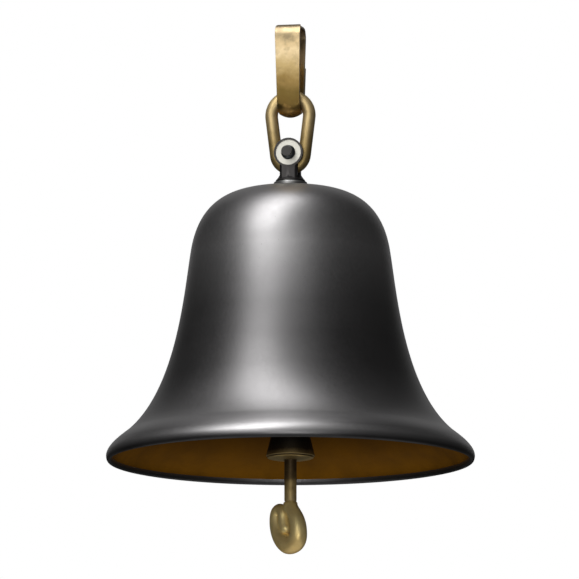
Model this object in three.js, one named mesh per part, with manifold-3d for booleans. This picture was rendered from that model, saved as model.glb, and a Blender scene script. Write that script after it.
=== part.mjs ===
// A six-inch bell that hangs on a wall hook by a riveted strap. Millimetres, +Z up,
// -Y is the front and +Y the wall side. The origin is the flat seat inside the top
// of the strap, where the wall hook bears. Heights h are measured up from the mouth
// of the bell, and one group puts the mouth SEAT_HEIGHT below the origin.

import * as THREE from 'three';
import { mergeVertices } from 'three/addons/utils/BufferGeometryUtils.js';
import Module from 'manifold-3d';

const wasm = await Module();
wasm.setup();

// ---- Driving dimensions -------------------------------------------------

const GAP = 0.3; // running and seating clearance between pieces

const SEAT_HEIGHT = 179; // strap seat above the mouth

const MOUTH_R = 75; // a 150 mm (six-inch) mouth
const CROWN_H = 112.8; // flat top of the bell
const CROWN_FLAT_R = 8;
const SHELL_T = 2.2; // sheet thickness
const CREASE = [66.4, 12.1]; // where the rolled lip starts: radius, height
const LIP_EDGE_H = 2.3; // height of the widest line of the lip

const STRAP_T = 1.5;
const STRAP_TOP_W = 10.4;
const STRAP_BOTTOM_W = 9.2;
const STRAP_SEAT_HALF = 1.8; // half length of the flat seat
const STRAP_TOP_R = 4.4; // centreline radius of the two top bends
const STRAP_TROUGH_R = 3.5; // inner radius of the bottom bend
const STRAP_TROUGH_H = 143.6; // inner bottom of the bend
const STRAP_TROUGH_RISE = 1.6; // the edges of the bend turn up by this
const LAP_START_H = 151.8; // the strip's inner end
const LAP_END_H = 163.8; // its outer end
const LAP_OFFSET = STRAP_T + GAP;
const RIVET_R = 1.2;
const RIVET_HEIGHTS = [155.2, 160.2];

const LINK_R = 2.6; // wire radius of the suspension link
const LINK_TOP = { h: 142.95, r: 7.85 }; // centre and centreline radius of its top bend
const LINK_BOTTOM = { h: 127, r: 5.9 };

const PIN_H = LINK_BOTTOM.h; // the clevis pin lies on the link's lower centre
const PIN_R = 1.8;
const PIN_HOLE_R = PIN_R + GAP;
const BUSH_R = LINK_BOTTOM.r - LINK_R - 0.35;
const CHEEK_R = 6; // round nose of the clevis
const CHEEK_OUT = 4.9; // outer face of each cheek
const SLOT_HALF = LINK_R + GAP;
const SLOT_FLOOR_H = 117.9;
const NECK_HALF = 3.65;

const WASHER_T = 2.1; // collar washer under the clevis
const FOOT_H = CROWN_H + GAP + WASHER_T + GAP; // underside of the clevis foot
const STUD_R = 3; // M6 stud through the crown
const STUD_HOLE_R = STUD_R + GAP;
const STUD_END_H = 98.5;

const RING_R = 4.6; // centreline radius of the two clapper eyes
const RING_WIRE_R = 1.6;
const EYE_H = 91.4; // centre of the fixed eye
const SWING_H = EYE_H - RING_R + 2 * RING_WIRE_R + GAP; // side-to-side axis
const CLAPPER_LINK_R = 3.6; // centreline radius of its two round ends
const CLAPPER_LINK_LENGTH = 11; // between the centres of its end wires
const TILT_H = SWING_H - CLAPPER_LINK_LENGTH + 2 * RING_WIRE_R + GAP; // front-to-back axis
const ROD_EYE_H = TILT_H - RING_R;
const ROD_R = 2.5;
const ROD_END_H = -16.2;
const SPIGOT_R = 1.4;
const SPIGOT_END_H = -19.4;

const WEIGHT = { bottomH: 2.2, bottomR: 9.9, topH: 24.2, topR: 4.7 };
const ROD_BORE_R = ROD_R + GAP;

const HOOK_STEM_R = 2.9; // collar that meets the end of the rod
const HOOK_OUT = [-5.8, -28.2]; // outermost point of the loaded limb: across, height
const HOOK_LOW = [-0.6, -33.8]; // lowest point of the centreline
const HOOK_IN = [10.25, -21.4]; // top of the other limb
const HOOK_CURL = { u: 7.6, h: -21.4, r: 2.65 }; // tight turn at the free end
const HOOK_YAW = THREE.MathUtils.degToRad(135.4); // the free end points back and left

// ---- Finishes -----------------------------------------------------------

function metal(name, color, roughness, metalness = 1) {
  return new THREE.MeshStandardMaterial({ name, color, roughness, metalness });
}

const GUNMETAL = metal('gunmetal', 0x3c3b3d, 0.38);
const AGED_BRASS = metal('aged_brass', 0xa58c5b, 0.36);
const BRIGHT_BRASS = metal('bright_brass', 0xb8935a, 0.3);
const BLUED_STEEL = metal('blued_steel', 0x34363c, 0.32);
const ZINC_STEEL = metal('zinc_steel', 0xa7a8a6, 0.4);
const DARK_IRON = metal('dark_iron', 0x2c2a2b, 0.5);

// ---- Shape helpers ------------------------------------------------------

// A closed three.js geometry as a solid, turned right side out.
function solid(geometry) {
  const bare = new THREE.BufferGeometry();
  bare.setAttribute('position', geometry.getAttribute('position').clone());
  if (geometry.index) bare.setIndex(geometry.index.clone());
  const merged = mergeVertices(bare, 1e-4);
  const at = merged.getAttribute('position').array;
  const tri = keepWhole(Uint32Array.from(merged.index.array));
  if (signedVolume(at, tri) < 0) flip(tri);
  return new wasm.Manifold(new wasm.Mesh({
    numProp: 3,
    vertProperties: Float32Array.from(at),
    triVerts: tri,
  }));
}

// Triangles that collapsed when vertices were merged are dropped.
function keepWhole(tri) {
  const kept = [];
  for (let i = 0; i < tri.length; i += 3) {
    const [a, b, c] = [tri[i], tri[i + 1], tri[i + 2]];
    if (a !== b && b !== c && c !== a) kept.push(a, b, c);
  }
  return Uint32Array.from(kept);
}

function signedVolume(at, tri) {
  const corner = (i) => new THREE.Vector3().fromArray(at, 3 * tri[i]);
  let sum = 0;
  for (let i = 0; i < tri.length; i += 3) {
    sum += corner(i).dot(corner(i + 1).cross(corner(i + 2)));
  }
  return sum / 6;
}

function flip(tri) {
  for (let i = 0; i < tri.length; i += 3) {
    const first = tri[i];
    tri[i] = tri[i + 1];
    tri[i + 1] = first;
  }
}

function toMesh(name, shape, material) {
  const { vertProperties, triVerts } = shape.getMesh();
  const geometry = new THREE.BufferGeometry();
  geometry.setAttribute('position', new THREE.BufferAttribute(vertProperties, 3));
  geometry.setIndex(new THREE.BufferAttribute(triVerts, 1));
  geometry.computeVertexNormals();
  const mesh = new THREE.Mesh(geometry, material);
  mesh.name = name;
  return mesh;
}

// A solid of revolution about Z from [radius, height] pairs. A profile that is off
// the axis is closed on itself.
function turned(profile, segments = 32) {
  const points = profile.map(([r, h]) => new THREE.Vector2(r, h));
  const first = points[0];
  if (first.x > 0) points.push(first.clone());
  return solid(new THREE.LatheGeometry(points, segments).rotateX(Math.PI / 2));
}

// A cylinder along Y between two y values, centred on [x, h].
function crossBar(radius, y0, y1, x, h, sides = 24) {
  const bar = new THREE.CylinderGeometry(radius, radius, y1 - y0, sides);
  return solid(bar.translate(x, (y0 + y1) / 2, h));
}

function block([x0, x1], [y0, y1], [h0, h1]) {
  const box = new THREE.BoxGeometry(x1 - x0, y1 - y0, h1 - h0);
  return solid(box.translate((x0 + x1) / 2, (y0 + y1) / 2, (h0 + h1) / 2));
}

function ringPlate(innerR, outerR, h0, h1, segments = 32) {
  return turned([[innerR, h0], [outerR, h0], [outerR, h1], [innerR, h1]], segments);
}

function arc(cx, cy, r, from, to, steps) {
  const points = [];
  for (let i = 0; i <= steps; i += 1) {
    const a = from + ((to - from) * i) / steps;
    points.push([cx + r * Math.cos(a), cy + r * Math.sin(a)]);
  }
  return points;
}

function cubic(p0, p1, p2, p3, steps) {
  const at = (t, k) => (1 - t) ** 3 * p0[k] + 3 * (1 - t) ** 2 * t * p1[k]
    + 3 * (1 - t) * t ** 2 * p2[k] + t ** 3 * p3[k];
  const points = [];
  for (let i = 0; i <= steps; i += 1) points.push([at(i / steps, 0), at(i / steps, 1)]);
  return points;
}

// The left-hand normal at each point of an open polyline.
function normals(points) {
  return points.map((_, i) => {
    const a = points[Math.max(i - 1, 0)];
    const b = points[Math.min(i + 1, points.length - 1)];
    const length = Math.hypot(b[0] - a[0], b[1] - a[1]);
    return [-(b[1] - a[1]) / length, (b[0] - a[0]) / length];
  });
}

function offset(points, distance) {
  const n = normals(points);
  return points.map(([x, y], i) => [x + distance * n[i][0], y + distance * n[i][1]]);
}

// A round wire whose centreline lies in the XZ plane, with a radius at each point. An
// open one has flat ends.
function wire(points, radii, closed, sides) {
  const count = points.length;
  const pick = (i) => points[closed ? (i + count) % count : THREE.MathUtils.clamp(i, 0, count - 1)];
  const position = [];
  points.forEach(([x, h], i) => {
    const [before, after] = [pick(i - 1), pick(i + 1)];
    const length = Math.hypot(after[0] - before[0], after[1] - before[1]);
    const nx = -(after[1] - before[1]) / length;
    const nh = (after[0] - before[0]) / length;
    for (let k = 0; k < sides; k += 1) {
      const a = (2 * Math.PI * k) / sides;
      const side = radii[i] * Math.cos(a);
      position.push(x + side * nx, radii[i] * Math.sin(a), h + side * nh);
    }
  });
  const geometry = new THREE.BufferGeometry();
  geometry.setAttribute('position', new THREE.Float32BufferAttribute(position, 3));
  geometry.setIndex(wireFaces(count, closed, sides));
  return solid(geometry);
}

function wireFaces(count, closed, sides) {
  const index = [];
  for (let i = 0; i < (closed ? count : count - 1); i += 1) {
    const row = i * sides;
    const ahead = ((i + 1) % count) * sides;
    for (let k = 0; k < sides; k += 1) {
      const next = (k + 1) % sides;
      index.push(row + k, ahead + k, ahead + next, row + k, ahead + next, row + next);
    }
  }
  if (!closed) {
    const last = (count - 1) * sides;
    for (let k = 1; k < sides - 1; k += 1) {
      index.push(0, k, k + 1, last, last + k + 1, last + k);
    }
  }
  return index;
}

function closedWire(points, radius, sides) {
  return wire(points, points.map(() => radius), true, sides);
}

// Two round ends joined by their common tangents, as [x, h] points of a closed line.
function pearLine(top, bottom, stepsTop, stepsBottom) {
  const slant = Math.asin((bottom.r - top.r) / (top.h - bottom.h));
  const upper = arc(0, top.h, top.r, slant, Math.PI - slant, stepsTop);
  const lower = arc(0, bottom.h, bottom.r, Math.PI - slant, 2 * Math.PI + slant, stepsBottom);
  return [...upper, ...lower];
}

function circleLine(h, r, steps) {
  return arc(0, h, r, 0, 2 * Math.PI, steps).slice(0, -1);
}

function hexNut(acrossFlats, boreR, h0, h1) {
  const cornerR = acrossFlats / Math.sqrt(3);
  const nut = new THREE.CylinderGeometry(cornerR, cornerR, h1 - h0, 6);
  const body = solid(nut.rotateX(Math.PI / 2).translate(0, 0, (h0 + h1) / 2));
  const edge = acrossFlats / 2 + 0.25;
  const wide = edge + 0.7;
  const chamfer = turned([[0, h0], [edge, h0], [wide, h0 + 0.7], [wide, h1 - 0.7], [edge, h1], [0, h1]], 24);
  const bore = turned([[0, h0 - 1], [boreR, h0 - 1], [boreR, h1 + 1], [0, h1 + 1]], 24);
  return body.intersect(chamfer).subtract(bore);
}

// ---- Hanging strap ------------------------------------------------------

// Lean of the straight legs: the normal of the back leg in the (y, h) plane.
function legLean() {
  const bottomR = STRAP_TROUGH_R + STRAP_T / 2;
  const dy = STRAP_SEAT_HALF;
  const dh = topBendH() - bottomBendH();
  return Math.asin((bottomR - STRAP_TOP_R) / Math.hypot(dy, dh)) - Math.atan2(dy, dh);
}

function topBendH() {
  return SEAT_HEIGHT + STRAP_T / 2 - STRAP_TOP_R;
}

function bottomBendH() {
  return STRAP_TROUGH_H + STRAP_TROUGH_R;
}

// A point of the back leg at a height, moved outwards from the leg's own line.
function onBackLeg(h, out = 0) {
  const lean = legLean();
  const foot = [STRAP_SEAT_HALF + STRAP_TOP_R * Math.cos(lean), topBendH() + STRAP_TOP_R * Math.sin(lean)];
  const y = foot[0] + (foot[1] - h) * Math.tan(lean);
  return [y + out * Math.cos(lean), h + out * Math.sin(lean)];
}

// The strip starts on the back leg, goes over the top, down the front, round the
// trough and up again, and laps outside its own start.
function strapLine() {
  const lean = legLean();
  const bottomR = STRAP_TROUGH_R + STRAP_T / 2;
  return [
    onBackLeg(LAP_START_H),
    onBackLeg(161),
    ...arc(STRAP_SEAT_HALF, topBendH(), STRAP_TOP_R, lean, Math.PI / 2, 6),
    ...arc(-STRAP_SEAT_HALF, topBendH(), STRAP_TOP_R, Math.PI / 2, Math.PI - lean, 6),
    ...arc(0, bottomBendH(), bottomR, Math.PI - lean, 2 * Math.PI + lean, 12),
    onBackLeg(148.4),
    onBackLeg(149.2, 0.3),
    onBackLeg(150.4, LAP_OFFSET - 0.3),
    onBackLeg(151.2, LAP_OFFSET),
    onBackLeg(LAP_END_H, LAP_OFFSET),
  ];
}

// Narrows the strip downwards and turns up the edges of its bottom bend.
function formStrap(geometry) {
  const at = geometry.getAttribute('position');
  for (let i = 0; i < at.count; i += 1) {
    const h = at.getZ(i);
    const across = at.getX(i) / (STRAP_TOP_W / 2);
    const down = THREE.MathUtils.clamp((177 - h) / 32, 0, 1);
    const width = THREE.MathUtils.lerp(STRAP_TOP_W, STRAP_BOTTOM_W, down);
    const bend = 1 - THREE.MathUtils.smoothstep(h, 144.7, 150.7);
    at.setX(i, (across * width) / 2);
    at.setZ(i, h + STRAP_TROUGH_RISE * bend * across * across);
  }
  return geometry;
}

function hangerStrap() {
  const line = strapLine();
  const outline = [...offset(line, STRAP_T / 2), ...offset(line, -STRAP_T / 2).reverse()];
  const shape = new THREE.Shape(outline.map(([y, h]) => new THREE.Vector2(y, h)));
  const strip = new THREE.ExtrudeGeometry(shape, { depth: STRAP_TOP_W, steps: 4, bevelEnabled: false });
  strip.translate(0, 0, -STRAP_TOP_W / 2);
  strip.applyMatrix4(new THREE.Matrix4().makeBasis(
    new THREE.Vector3(0, 1, 0),
    new THREE.Vector3(0, 0, 1),
    new THREE.Vector3(1, 0, 0),
  ));
  let body = solid(formStrap(strip));
  for (const h of RIVET_HEIGHTS) body = body.subtract(rivetHole(h));
  return body;
}

function rivetPlace(h) {
  const [y, z] = onBackLeg(h);
  const lean = legLean();
  const along = new THREE.Vector3(0, Math.cos(lean), Math.sin(lean));
  const turn = new THREE.Quaternion().setFromUnitVectors(new THREE.Vector3(0, 0, 1), along);
  return new THREE.Matrix4().compose(new THREE.Vector3(0, y, z), turn, new THREE.Vector3(1, 1, 1));
}

function rivetHole(h) {
  const bore = new THREE.CylinderGeometry(RIVET_R + GAP, RIVET_R + GAP, 12, 16);
  return solid(bore.rotateX(Math.PI / 2).applyMatrix4(rivetPlace(h)));
}

function strapRivet(h) {
  const inner = -STRAP_T / 2 - GAP;
  const outer = LAP_OFFSET + STRAP_T / 2 + GAP;
  const profile = [
    [0, inner - 0.9], [1.2, inner - 0.75], [1.9, inner - 0.35], [2.1, inner],
    [RIVET_R, inner], [RIVET_R, outer],
    [2.1, outer], [1.9, outer + 0.4], [1.2, outer + 0.85], [0, outer + 1],
  ];
  const points = profile.map(([r, z]) => new THREE.Vector2(r, z));
  const lathe = new THREE.LatheGeometry(points, 16).rotateX(Math.PI / 2);
  return solid(lathe.applyMatrix4(rivetPlace(h)));
}

// ---- Suspension link and crown clevis -----------------------------------

function suspensionLink() {
  return closedWire(pearLine(LINK_TOP, LINK_BOTTOM, 16, 14), LINK_R, 12);
}

function crownClevis() {
  const foot = turned([
    [0, FOOT_H], [5.8, FOOT_H], [6, FOOT_H + 0.2], [6, FOOT_H + 0.5],
    [5.2, FOOT_H + 1.5], [4.5, FOOT_H + 2.8], [4, FOOT_H + 4.2], [3.7, FOOT_H + 5.4],
    [0, FOOT_H + 5.4],
  ], 28);
  const neck = block([-NECK_HALF, NECK_HALF], [-CHEEK_OUT, CHEEK_OUT], [FOOT_H + 0.9, PIN_H])
    .intersect(turned([[0, FOOT_H], [5.6, FOOT_H], [5.6, PIN_H], [0, PIN_H]], 28));
  const eye = crossBar(CHEEK_R, -CHEEK_OUT, CHEEK_OUT, 0, PIN_H, 32);
  const slot = block([-8, 8], [-SLOT_HALF, SLOT_HALF], [SLOT_FLOOR_H, PIN_H + 10]);
  const bore = crossBar(PIN_HOLE_R, -8, 8, 0, PIN_H);
  const facePocket = crossBar(5.2, -CHEEK_OUT - 1, -CHEEK_OUT + 0.35, 0, PIN_H, 32);
  const studTop = FOOT_H + 0.5;
  const stud = turned([
    [0, STUD_END_H], [STUD_R - 0.5, STUD_END_H], [STUD_R, STUD_END_H + 0.5], [STUD_R, studTop], [0, studTop],
  ], 24);
  return foot.add(neck).add(eye).subtract(slot).subtract(bore).subtract(facePocket).add(stud);
}

const PIN_HEAD_Y = -CHEEK_OUT + 0.35 - GAP; // underside of the pin head, in the face pocket
const SPLIT_PIN_Y = 6.9;
const SPLIT_PIN_R = 0.45;

function clevisPin() {
  const profile = [
    [0, PIN_HEAD_Y - 1.9], [1.2, PIN_HEAD_Y - 1.78], [2.2, PIN_HEAD_Y - 1.35],
    [2.8, PIN_HEAD_Y - 0.7], [2.95, PIN_HEAD_Y], [PIN_R, PIN_HEAD_Y],
    [PIN_R, 8], [1.4, 8.4], [0, 8.4],
  ];
  const points = profile.map(([r, y]) => new THREE.Vector2(r, y));
  const body = solid(new THREE.LatheGeometry(points, 28).translate(0, 0, PIN_H));
  const hole = new THREE.CylinderGeometry(SPLIT_PIN_R + GAP, SPLIT_PIN_R + GAP, 8, 12);
  return body.subtract(solid(hole.rotateX(Math.PI / 2).translate(0, SPLIT_PIN_Y, PIN_H)));
}

function pinBush() {
  const half = SLOT_HALF - GAP;
  return crossBar(BUSH_R, -half, half, 0, PIN_H, 28).subtract(crossBar(PIN_HOLE_R, -9, 9, 0, PIN_H));
}

function pinWasher() {
  const near = CHEEK_OUT + GAP;
  return crossBar(4.2, near, near + 0.8, 0, PIN_H, 28).subtract(crossBar(PIN_HOLE_R, 0, 9, 0, PIN_H));
}

// A split pin with its eye on top and its two legs spread below.
function pinSplitPin() {
  const shank = new THREE.CylinderGeometry(SPLIT_PIN_R, SPLIT_PIN_R, 5.4, 10);
  const legR = SPLIT_PIN_R * 0.8;
  let body = solid(shank.rotateX(Math.PI / 2).translate(0, SPLIT_PIN_Y, PIN_H + 0.1));
  const eye = new THREE.TorusGeometry(1, 0.42, 8, 18).rotateX(Math.PI / 2);
  body = body.add(solid(eye.translate(0, SPLIT_PIN_Y, PIN_H + 3.6)));
  for (const side of [-1, 1]) {
    const leg = new THREE.CylinderGeometry(legR, legR, 2.6, 8).rotateX(Math.PI / 2);
    leg.translate(0, 0, -1.2).rotateY(side * 0.75).translate(0, SPLIT_PIN_Y, PIN_H - 2.4);
    body = body.add(solid(leg));
  }
  return body;
}

function crownWasher() {
  return ringPlate(STUD_HOLE_R, 6.8, CROWN_H + GAP, CROWN_H + GAP + WASHER_T, 32);
}

// ---- Bell shell ---------------------------------------------------------

// The outside from the crown to the widest line of the lip.
function shellOutside() {
  const waist = [40.7, 86.7];
  const dome = cubic([CROWN_FLAT_R, CROWN_H], [26.5, CROWN_H], [37.64, 105.8], waist, 8);
  const flare = cubic(waist, [43.48, 69.25], [46.43, 29.45], CREASE, 9);
  const bead = cubic(CREASE, [68.4, 10.4], [MOUTH_R, 6.2], [MOUTH_R, LIP_EDGE_H], 4);
  return [...dome, ...flare.slice(1), ...bead.slice(1)];
}

function bellShell() {
  const outside = shellOutside();
  const inside = offset(outside, -SHELL_T);
  inside[0] = [CROWN_FLAT_R, CROWN_H - SHELL_T];
  const edge = [
    [MOUTH_R - 0.2, 1.1], [MOUTH_R - 0.6, 0.3], [MOUTH_R - 1, 0],
    [MOUTH_R - 1.8, 0.2], [MOUTH_R - SHELL_T, 1],
  ];
  const profile = [
    [STUD_HOLE_R, CROWN_H], ...outside, ...edge,
    ...inside.reverse(), [STUD_HOLE_R, CROWN_H - SHELL_T],
  ];
  return turned(profile, 60);
}

// ---- Fasteners under the crown ------------------------------------------

const UNDER_CROWN_H = CROWN_H - SHELL_T;
const INNER_WASHER = { h0: UNDER_CROWN_H - GAP - 1.2, h1: UNDER_CROWN_H - GAP };
const SPRING_WASHER = { h0: INNER_WASHER.h0 - GAP - 1.5, h1: INNER_WASHER.h0 - GAP };
const CROWN_NUT = { h0: SPRING_WASHER.h0 - GAP - 5, h1: SPRING_WASHER.h0 - GAP };
const EYE_NUT_TOP_H = CROWN_NUT.h0 - GAP;

function innerWasher() {
  return ringPlate(STUD_HOLE_R, 8, INNER_WASHER.h0, INNER_WASHER.h1);
}

function springWasher() {
  const ring = ringPlate(STUD_HOLE_R, 5.4, SPRING_WASHER.h0, SPRING_WASHER.h1);
  const cut = new THREE.BoxGeometry(0.7, 6, 6).rotateY(0.35);
  return ring.subtract(solid(cut.translate(0, -5, (SPRING_WASHER.h0 + SPRING_WASHER.h1) / 2)));
}

function clapperEyeNut() {
  const base = EYE_H + RING_R + RING_WIRE_R - 0.8;
  const body = turned([
    [0, base - 0.6], [2.4, base - 0.4], [4.4, base + 0.8], [5, base + 1.6],
    [5, EYE_NUT_TOP_H - 0.4], [4.6, EYE_NUT_TOP_H], [0, EYE_NUT_TOP_H],
  ], 28);
  const bore = turned([[0, STUD_END_H - 0.5], [STUD_HOLE_R, STUD_END_H - 0.5],
    [STUD_HOLE_R, EYE_NUT_TOP_H + 1], [0, EYE_NUT_TOP_H + 1]], 24);
  const ring = closedWire(circleLine(EYE_H, RING_R, 20), RING_WIRE_R, 8);
  return body.subtract(bore).add(ring);
}

// ---- Clapper ------------------------------------------------------------

function clapperLink() {
  const top = { h: SWING_H - CLAPPER_LINK_R, r: CLAPPER_LINK_R };
  const bottom = { h: SWING_H - CLAPPER_LINK_LENGTH + CLAPPER_LINK_R, r: CLAPPER_LINK_R };
  return closedWire(pearLine(top, bottom, 10, 10), RING_WIRE_R, 8).rotate([0, 0, 90]);
}

function clapperRod() {
  const top = ROD_EYE_H - RING_R - 0.6;
  const rod = turned([
    [0, SPIGOT_END_H], [SPIGOT_R, SPIGOT_END_H], [SPIGOT_R, ROD_END_H],
    [ROD_R, ROD_END_H], [ROD_R, top - 1.5], [1.8, top], [0, top],
  ], 24);
  return rod.add(closedWire(circleLine(ROD_EYE_H, RING_R, 20), RING_WIRE_R, 8));
}

function clapperWeight() {
  const { bottomH, bottomR, topH, topR } = WEIGHT;
  return turned([
    [ROD_BORE_R, bottomH], [bottomR - 0.3, bottomH], [bottomR, bottomH + 0.4],
    [topR, topH - 0.4], [topR - 0.4, topH], [ROD_BORE_R, topH],
  ], 32);
}

function weightLockNut() {
  return hexNut(8, ROD_BORE_R, WEIGHT.topH + GAP, WEIGHT.topH + GAP + 4);
}

function weightRetainerDisc() {
  const top = WEIGHT.bottomH - GAP;
  return turned([
    [ROD_BORE_R, top], [9.2, top], [9.4, top - 0.2], [9.2, top - 0.45],
    [7.6, top - 0.85], [5.6, top - 1.1], [3.8, top - 1.2], [ROD_BORE_R, top - 1.2],
  ], 28);
}

// ---- Pull hook ----------------------------------------------------------

// The wire leaves the stem, swells to one side, rounds the big bend, climbs the
// other side and curls back down inside itself.
function hookLine() {
  const { u, h, r } = HOOK_CURL;
  return [
    ...cubic([0, ROD_END_H - GAP], [0, -20.2], [-5.4, -22.3], HOOK_OUT, 8),
    ...cubic(HOOK_OUT, [-6.2, -32.4], [-4.2, HOOK_LOW[1]], HOOK_LOW, 8).slice(1),
    ...cubic(HOOK_LOW, [4.4, HOOK_LOW[1]], [10.4, -28.4], HOOK_IN, 9).slice(1),
    ...arc(u, h, r, 0, Math.PI, 9).slice(1),
    [4.55, -24.4],
    [3.4, -27.2],
  ];
}

// Thickest at the low bend, thinnest round the curl.
function hookRadii(line) {
  const stops = [[0, 2.6], [0.22, 3.4], [0.48, 4.1], [0.7, 2.65], [0.85, 2.4], [1, 2.6]];
  return line.map((_, i) => {
    const t = i / (line.length - 1);
    const k = stops.findIndex(([at]) => at >= t && at > 0);
    const [[t0, r0], [t1, r1]] = [stops[k - 1], stops[k]];
    return THREE.MathUtils.lerp(r0, r1, (t - t0) / (t1 - t0));
  });
}

function pullHook() {
  const line = hookLine();
  const radii = hookRadii(line);
  const [tipU, tipH] = line[line.length - 1];
  const tip = new THREE.SphereGeometry(radii[radii.length - 1] * 0.99, 12, 8).translate(tipU, 0, tipH);
  const top = ROD_END_H - GAP;
  const stem = turned([
    [0, top - 4.4], [2.2, top - 4.2], [HOOK_STEM_R, top - 3], [HOOK_STEM_R, top - 0.4],
    [HOOK_STEM_R - 0.3, top], [0, top],
  ], 24);
  const bore = turned([
    [0, SPIGOT_END_H - GAP], [SPIGOT_R + GAP, SPIGOT_END_H - GAP],
    [SPIGOT_R + GAP, top + 2], [0, top + 2],
  ], 20);
  const above = block([-6, 6], [-6, 6], [top, top + 4]);
  return wire(line, radii, false, 12).add(solid(tip)).add(stem).subtract(bore).subtract(above);
}

// ---- Assembly -----------------------------------------------------------

function strapGroup() {
  const group = new THREE.Group();
  group.add(toMesh('hanger_strap', hangerStrap(), AGED_BRASS));
  group.add(toMesh('strap_rivet_lower', strapRivet(RIVET_HEIGHTS[0]), AGED_BRASS));
  group.add(toMesh('strap_rivet_upper', strapRivet(RIVET_HEIGHTS[1]), AGED_BRASS));
  return group;
}

function crownGroup() {
  const group = new THREE.Group();
  group.add(toMesh('crown_clevis', crownClevis(), BLUED_STEEL));
  group.add(toMesh('clevis_pin', clevisPin(), BLUED_STEEL));
  group.add(toMesh('pin_bush', pinBush(), BRIGHT_BRASS));
  group.add(toMesh('pin_washer', pinWasher(), ZINC_STEEL));
  group.add(toMesh('pin_split_pin', pinSplitPin(), ZINC_STEEL));
  group.add(toMesh('crown_washer', crownWasher(), ZINC_STEEL));
  return group;
}

function bellGroup() {
  const group = new THREE.Group();
  group.add(toMesh('bell_shell', bellShell(), GUNMETAL));
  group.add(toMesh('inner_washer', innerWasher(), ZINC_STEEL));
  group.add(toMesh('spring_washer', springWasher(), ZINC_STEEL));
  group.add(toMesh('crown_nut', hexNut(10, STUD_HOLE_R, CROWN_NUT.h0, CROWN_NUT.h1), ZINC_STEEL));
  group.add(toMesh('clapper_eye_nut', clapperEyeNut(), DARK_IRON));
  return group;
}

function clapperGroup() {
  const group = new THREE.Group();
  group.add(toMesh('clapper_rod', clapperRod(), AGED_BRASS));
  group.add(toMesh('weight_lock_nut', weightLockNut(), AGED_BRASS));
  group.add(toMesh('clapper_weight', clapperWeight(), DARK_IRON));
  group.add(toMesh('weight_retainer_disc', weightRetainerDisc(), BRIGHT_BRASS));
  const hook = toMesh('pull_hook', pullHook(), AGED_BRASS);
  hook.rotation.z = HOOK_YAW;
  group.add(hook);
  return group;
}

const bell = new THREE.Group();
bell.position.z = -SEAT_HEIGHT;
bell.add(strapGroup());
bell.add(toMesh('suspension_link', suspensionLink(), AGED_BRASS));
bell.add(crownGroup());
bell.add(bellGroup());
bell.add(toMesh('clapper_link', clapperLink(), DARK_IRON));
bell.add(clapperGroup());

export default bell;
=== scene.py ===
import math

import bmesh
import bpy
from mathutils import Matrix, Vector

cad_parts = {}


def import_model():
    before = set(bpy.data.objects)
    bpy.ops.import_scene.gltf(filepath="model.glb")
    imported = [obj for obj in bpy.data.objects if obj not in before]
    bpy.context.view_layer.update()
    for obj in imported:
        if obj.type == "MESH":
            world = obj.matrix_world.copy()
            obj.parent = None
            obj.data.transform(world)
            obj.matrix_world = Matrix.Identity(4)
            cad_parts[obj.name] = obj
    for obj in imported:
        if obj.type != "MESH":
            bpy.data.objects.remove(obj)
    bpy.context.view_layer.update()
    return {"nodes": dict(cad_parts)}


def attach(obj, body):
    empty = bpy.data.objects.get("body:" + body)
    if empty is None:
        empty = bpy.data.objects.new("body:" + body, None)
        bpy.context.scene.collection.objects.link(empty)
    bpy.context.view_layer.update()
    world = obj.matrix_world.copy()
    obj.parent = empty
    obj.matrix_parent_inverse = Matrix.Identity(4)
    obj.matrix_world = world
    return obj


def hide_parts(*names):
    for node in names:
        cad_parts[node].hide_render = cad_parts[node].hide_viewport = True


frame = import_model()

# ---- Dimensions, in millimetres above the mouth of the bell; the frame is in metres

MM = 0.001
SKIN = 0.01  # keeps the smooth strap just inside the CAD model's box
SEAT_H = 179.0  # the frame's origin is on the strap's seat

MOUTH_R = 75.0
CROWN_H = 112.8
CROWN_FLAT_R = 8.0
WAIST = (40.7, 86.7)  # radius, height
CREASE = (66.4, 12.1)
LIP_EDGE_H = 2.3
SHELL_T = 2.2
LACQUER_TURN_IN_H = 2.4  # the outer finish ends this far up inside the lip

STRAP_T = 1.5
STRAP_TOP_W = 10.4
STRAP_BOTTOM_W = 9.2
STRAP_SEAT_HALF = 1.8
CORNER_R = 1.2  # rounding of the strip's corners at the top bend
STRAP_TOP_R = 4.4
STRAP_TROUGH_R = 3.5
STRAP_TROUGH_H = 143.6
STRAP_TROUGH_RISE = 1.6  # how far the strip's edges curl up round the link
STRAP_TAPER = (177.0, 145.0)  # the strip narrows between these heights
STRAP_CURL = (144.7, 150.7)  # the curl fades out between these heights
LAP_START_H = 151.8
LAP_END_H = 163.8
LAP_OFFSET = 1.8

LINK_R = 2.6
LINK_TOP = (142.95, 7.85)  # centre height, centreline radius
LINK_BOTTOM = (127.0, 5.9)
PIN_H = LINK_BOTTOM[0]
PIN_R = 1.8
PIN_HOLE_R = 2.1
PIN_HEAD_R = 2.95
CHEEK_R = 6.0  # round nose of the clevis
CHEEK_OUT = 4.9  # outer face of each cheek
SLOT_HALF = 2.9
SLOT_FLOOR_H = 117.9
NECK_HALF = 3.65
NECK_R = 5.6
POCKET_R = 5.2  # shallow pocket round the pin head
POCKET_DEPTH = 0.35
WASHER_T = 2.1
FOOT_H = CROWN_H + 0.6 + WASHER_T  # underside of the clevis foot
STUD_R = 3.0
STUD_END_H = 98.5
EYE_NUT_TOP_H = 101.6

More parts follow.
